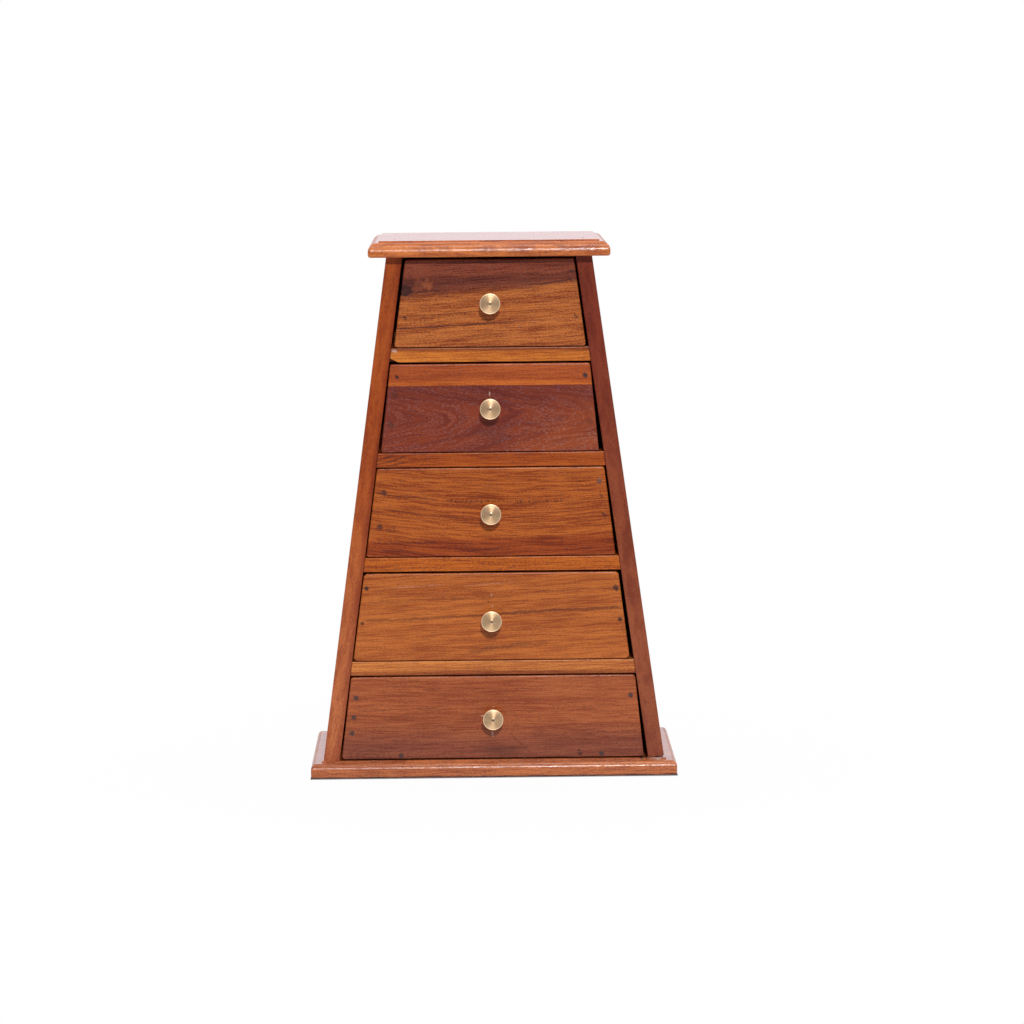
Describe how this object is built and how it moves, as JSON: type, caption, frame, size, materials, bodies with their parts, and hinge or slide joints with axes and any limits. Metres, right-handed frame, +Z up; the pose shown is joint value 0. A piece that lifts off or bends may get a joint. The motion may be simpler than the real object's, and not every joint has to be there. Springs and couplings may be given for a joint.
{
  "type": "tapered desk drawer organizer",
  "caption": "Tapered wooden desk organizer with a column of drawers that grow wider downwards, turned brass knobs, moulded top and base.",
  "frame": {"origin": "centre of the base board's underside, on the surface that the organizer stands on", "axes": "+Z up, +X to the right seen from the front, +Y from the drawer fronts to the back"},
  "size_m": [0.2736, 0.1622, 0.4],
  "materials": {
    "top_wood": "glossy varnish, orange brown",
    "base_wood": "glossy varnish, orange brown",
    "left_side_wood": "glossy varnish, orange brown",
    "right_side_wood": "glossy varnish, red brown",
    "back_wood": "thin varnish, brown",
    "shelf_wood": "glossy varnish, light orange brown",
    "drawer_1_wood": "glossy varnish, brown with a dark upper half",
    "drawer_2_wood": "glossy varnish, dark red brown with pale pores",
    "drawer_2_strip_wood": "glossy varnish, orange brown",
    "drawer_3_wood": "glossy varnish, orange brown",
    "drawer_4_wood": "glossy varnish, golden orange brown",
    "drawer_5_wood": "glossy varnish, brown",
    "box_wood": "bare planed wood",
    "floor_wood": "bare planed wood",
    "knob_brass": "turned, lacquered",
    "nail_steel": "dark, stained over",
    "screw_steel": "plain zinc grey"
  },
  "bodies": {
    "case": {"base_board": "base_wood", "top_board": "top_wood", "left_side": "left_side_wood", "right_side": "right_side_wood", "back_panel": "back_wood", "shelf_1": "shelf_wood", "shelf_2": "shelf_wood", "shelf_3": "shelf_wood", "shelf_4": "shelf_wood", "top_nails": "nail_steel", "shelf_nails": "nail_steel", "back_nails": "nail_steel", "base_screws": "screw_steel"},
    "drawer_1": {"drawer_1_front": "drawer_1_wood", "drawer_1_left_side": "box_wood", "drawer_1_right_side": "box_wood", "drawer_1_back": "box_wood", "drawer_1_floor": "floor_wood", "drawer_1_knob": "knob_brass", "drawer_1_knob_screw": "screw_steel", "drawer_1_front_nails": "nail_steel", "drawer_1_box_nails": "nail_steel"},
    "drawer_2": {"drawer_2_front": "drawer_2_wood", "drawer_2_front_strip": "drawer_2_strip_wood", "drawer_2_left_side": "box_wood", "drawer_2_right_side": "box_wood", "drawer_2_back": "box_wood", "drawer_2_floor": "floor_wood", "drawer_2_knob": "knob_brass", "drawer_2_knob_screw": "screw_steel", "drawer_2_front_nails": "nail_steel", "drawer_2_box_nails": "nail_steel"},
    "drawer_3": {"drawer_3_front": "drawer_3_wood", "drawer_3_left_side": "box_wood", "drawer_3_right_side": "box_wood", "drawer_3_back": "box_wood", "drawer_3_floor": "floor_wood", "drawer_3_knob": "knob_brass", "drawer_3_knob_screw": "screw_steel", "drawer_3_front_nails": "nail_steel", "drawer_3_box_nails": "nail_steel"},
    "drawer_4": {"drawer_4_front": "drawer_4_wood", "drawer_4_left_side": "box_wood", "drawer_4_right_side": "box_wood", "drawer_4_back": "box_wood", "drawer_4_floor": "floor_wood", "drawer_4_knob": "knob_brass", "drawer_4_knob_screw": "screw_steel", "drawer_4_front_nails": "nail_steel", "drawer_4_box_nails": "nail_steel"},
    "drawer_5": {"drawer_5_front": "drawer_5_wood", "drawer_5_left_side": "box_wood", "drawer_5_right_side": "box_wood", "drawer_5_back": "box_wood", "drawer_5_floor": "floor_wood", "drawer_5_knob": "knob_brass", "drawer_5_knob_screw": "screw_steel", "drawer_5_front_nails": "nail_steel", "drawer_5_box_nails": "nail_steel"}
  },
  "joints": [
    {"name": "drawer_1_slide", "type": "slide", "parent": "case", "child": "drawer_1", "axis": [0, -1, 0], "range_m": [0, 0.095]},
    {"name": "drawer_2_slide", "type": "slide", "parent": "case", "child": "drawer_2", "axis": [0, -1, 0], "range_m": [0, 0.095]},
    {"name": "drawer_3_slide", "type": "slide", "parent": "case", "child": "drawer_3", "axis": [0, -1, 0], "range_m": [0, 0.095]},
    {"name": "drawer_4_slide", "type": "slide", "parent": "case", "child": "drawer_4", "axis": [0, -1, 0], "range_m": [0, 0.095]},
    {"name": "drawer_5_slide", "type": "slide", "parent": "case", "child": "drawer_5", "axis": [0, -1, 0], "range_m": [0, 0.095]}
  ]
}
